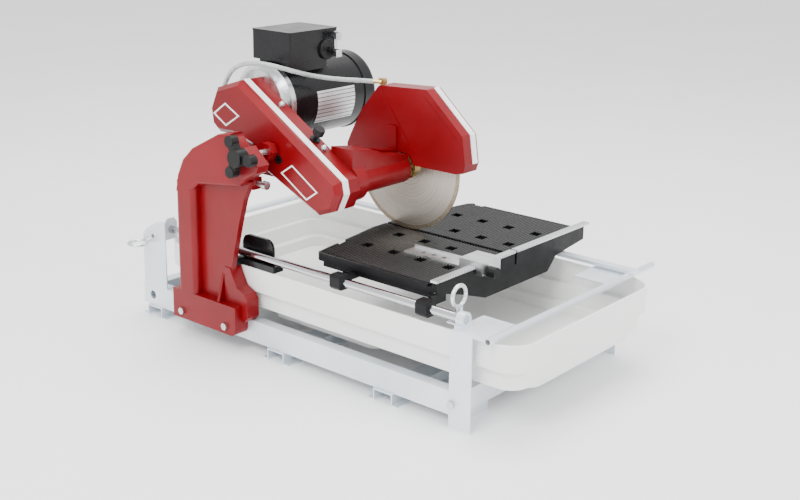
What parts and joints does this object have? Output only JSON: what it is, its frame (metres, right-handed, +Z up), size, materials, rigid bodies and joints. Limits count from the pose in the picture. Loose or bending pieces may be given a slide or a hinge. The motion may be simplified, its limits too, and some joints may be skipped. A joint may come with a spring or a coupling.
{
  "type": "wet tile saw",
  "caption": "Wet tile saw: guarded diamond blade on a tilting motor head, over a rolling cart in a steel frame with a water pan.",
  "frame": {"origin": "on the floor, under the centre of the blade with the head lowered", "axes": "+X to the operator's right, +Y from the operator to the rear, +Z up; the blade's plane is YZ"},
  "size_m": [0.593, 0.9435, 0.605],
  "materials": {
    "zinc_steel": "satin zinc plate",
    "bright_steel": "bright",
    "rod_chrome": "polished",
    "red_paint": "gloss enamel on a casting",
    "black_paint": "semi-gloss",
    "black_plastic": "satin",
    "white_plastic": "soft gloss",
    "white_trim": "gloss",
    "bare_aluminium": "satin",
    "label_foil": "printed foil, blank",
    "blade_steel": "ground",
    "yellow_brass": "turned",
    "mat_rubber": "ribbed",
    "hose_plastic": "clear vinyl",
    "core_iron": "machined"
  },
  "bodies": {
    "frame": {"frame_rail_left": "zinc_steel", "frame_rail_right": "zinc_steel", "frame_skids": "zinc_steel", "frame_cross_members": "zinc_steel", "front_posts": "zinc_steel", "rear_posts": "zinc_steel", "cross_tubes": "zinc_steel", "frame_screws": "bright_steel", "guide_rod": "rod_chrome", "rod_clamps": "zinc_steel", "cart_rail": "zinc_steel", "water_pan": "white_plastic", "column": "red_paint", "pivot_shaft": "bright_steel", "depth_stop": "bright_steel", "rod_shield": "black_paint"},
    "plug": {"drain_plug": "black_plastic"},
    "pin_front": {"ring_pin_front": "bright_steel"},
    "pin_rear": {"ring_pin_rear": "bright_steel"},
    "head": {"arm_casting": "red_paint", "belt_cover": "red_paint", "white_trims": "white_trim", "cover_grommet": "black_plastic", "arm_fasteners": "bright_steel", "belt_tensioner": "black_plastic", "arbor_bearings": "bright_steel", "drive_belt": "mat_rubber", "motor_shell": "black_paint", "motor_front_bell": "bare_aluminium", "motor_rear_bell": "black_paint", "motor_stator": "core_iron", "control_box": "black_paint", "box_lid": "black_plastic", "cable_gland": "black_plastic", "switch_body": "black_plastic", "switch_bracket": "bright_steel", "motor_label": "label_foil", "blade_guard": "red_paint", "guard_bracket": "red_paint", "water_fittings": "yellow_brass", "water_hose": "hose_plastic", "lock_stud": "bright_steel"},
    "rotor": {"motor_rotor": "core_iron", "motor_pulley": "core_iron"},
    "arbor": {"arbor_shaft": "bright_steel", "arbor_pulley": "core_iron", "blade": "blade_steel", "blade_flanges": "yellow_brass", "arbor_nut": "bright_steel"},
    "toggle": {"switch_toggle": "black_plastic"},
    "knob": {"lock_knob": "black_plastic"},
    "cart": {"cart_table": "black_paint", "cart_mats": "mat_rubber", "cart_ruler": "bare_aluminium", "cart_bearings": "black_paint", "cart_axles": "bright_steel"},
    "wheel_front": {"cart_wheel_front": "bright_steel"},
    "wheel_rear": {"cart_wheel_rear": "bright_steel"},
    "guide": {"angle_guide": "bare_aluminium"},
    "guide_screw": {"guide_thumbscrew": "black_plastic"}
  },
  "joints": [
    {"name": "head_tilt", "type": "hinge", "parent": "frame", "child": "head", "pos_m": [-0.25, 0.205, 0.36], "axis": [-1, 0, 0], "range_deg": [-3, 28]},
    {"name": "rotor_spin", "type": "hinge", "parent": "head", "child": "rotor", "pos_m": [-0.05, 0.23, 0.463], "axis": [1, 0, 0], "continuous": true},
    {"name": "blade_spin", "type": "hinge", "parent": "head", "child": "arbor", "pos_m": [0, 0, 0.345], "axis": [1, 0, 0], "continuous": true},
    {"name": "switch_throw", "type": "hinge", "parent": "head", "child": "toggle", "pos_m": [-0.062, 0.161, 0.564], "axis": [1, 0, 0], "range_deg": [-14, 14]},
    {"name": "knob_turn", "type": "hinge", "parent": "head", "child": "knob", "pos_m": [-0.33, 0.125, 0.398], "axis": [1, 0, 0], "range_deg": [-30, 330]},
    {"name": "cart_travel", "type": "slide", "parent": "frame", "child": "cart", "axis": [0, 1, 0], "range_m": [-0.03, 0.145]},
    {"name": "front_wheel_spin", "type": "hinge", "parent": "cart", "child": "wheel_front", "pos_m": [0.16, -0.19, 0.194], "axis": [1, 0, 0], "continuous": true},
    {"name": "rear_wheel_spin", "type": "hinge", "parent": "cart", "child": "wheel_rear", "pos_m": [0.16, -0.03, 0.194], "axis": [1, 0, 0], "continuous": true},
    {"name": "guide_shift", "type": "slide", "parent": "cart", "child": "guide", "axis": [1, 0, 0], "range_m": [-0.1, 0.05]},
    {"name": "guide_screw_turn", "type": "hinge", "parent": "guide", "child": "guide_screw", "pos_m": [-0.108, -0.28, 0.219], "axis": [0, 1, 0], "range_deg": [-30, 330]},
    {"name": "front_pin_pull", "type": "slide", "parent": "frame", "child": "pin_front", "axis": [0, 0, 1], "range_m": [0, 0.03]},
    {"name": "rear_pin_pull", "type": "slide", "parent": "frame", "child": "pin_rear", "axis": [-1, 0, 0], "range_m": [0, 0.03]},
    {"name": "plug_pull", "type": "slide", "parent": "frame", "child": "plug", "axis": [0, 1, 0], "range_m": [0, 0.03]}
  ],
  "couplings": [
    {"joint": "blade_spin", "follows": "rotor_spin", "ratio": 1.1667}
  ]
}
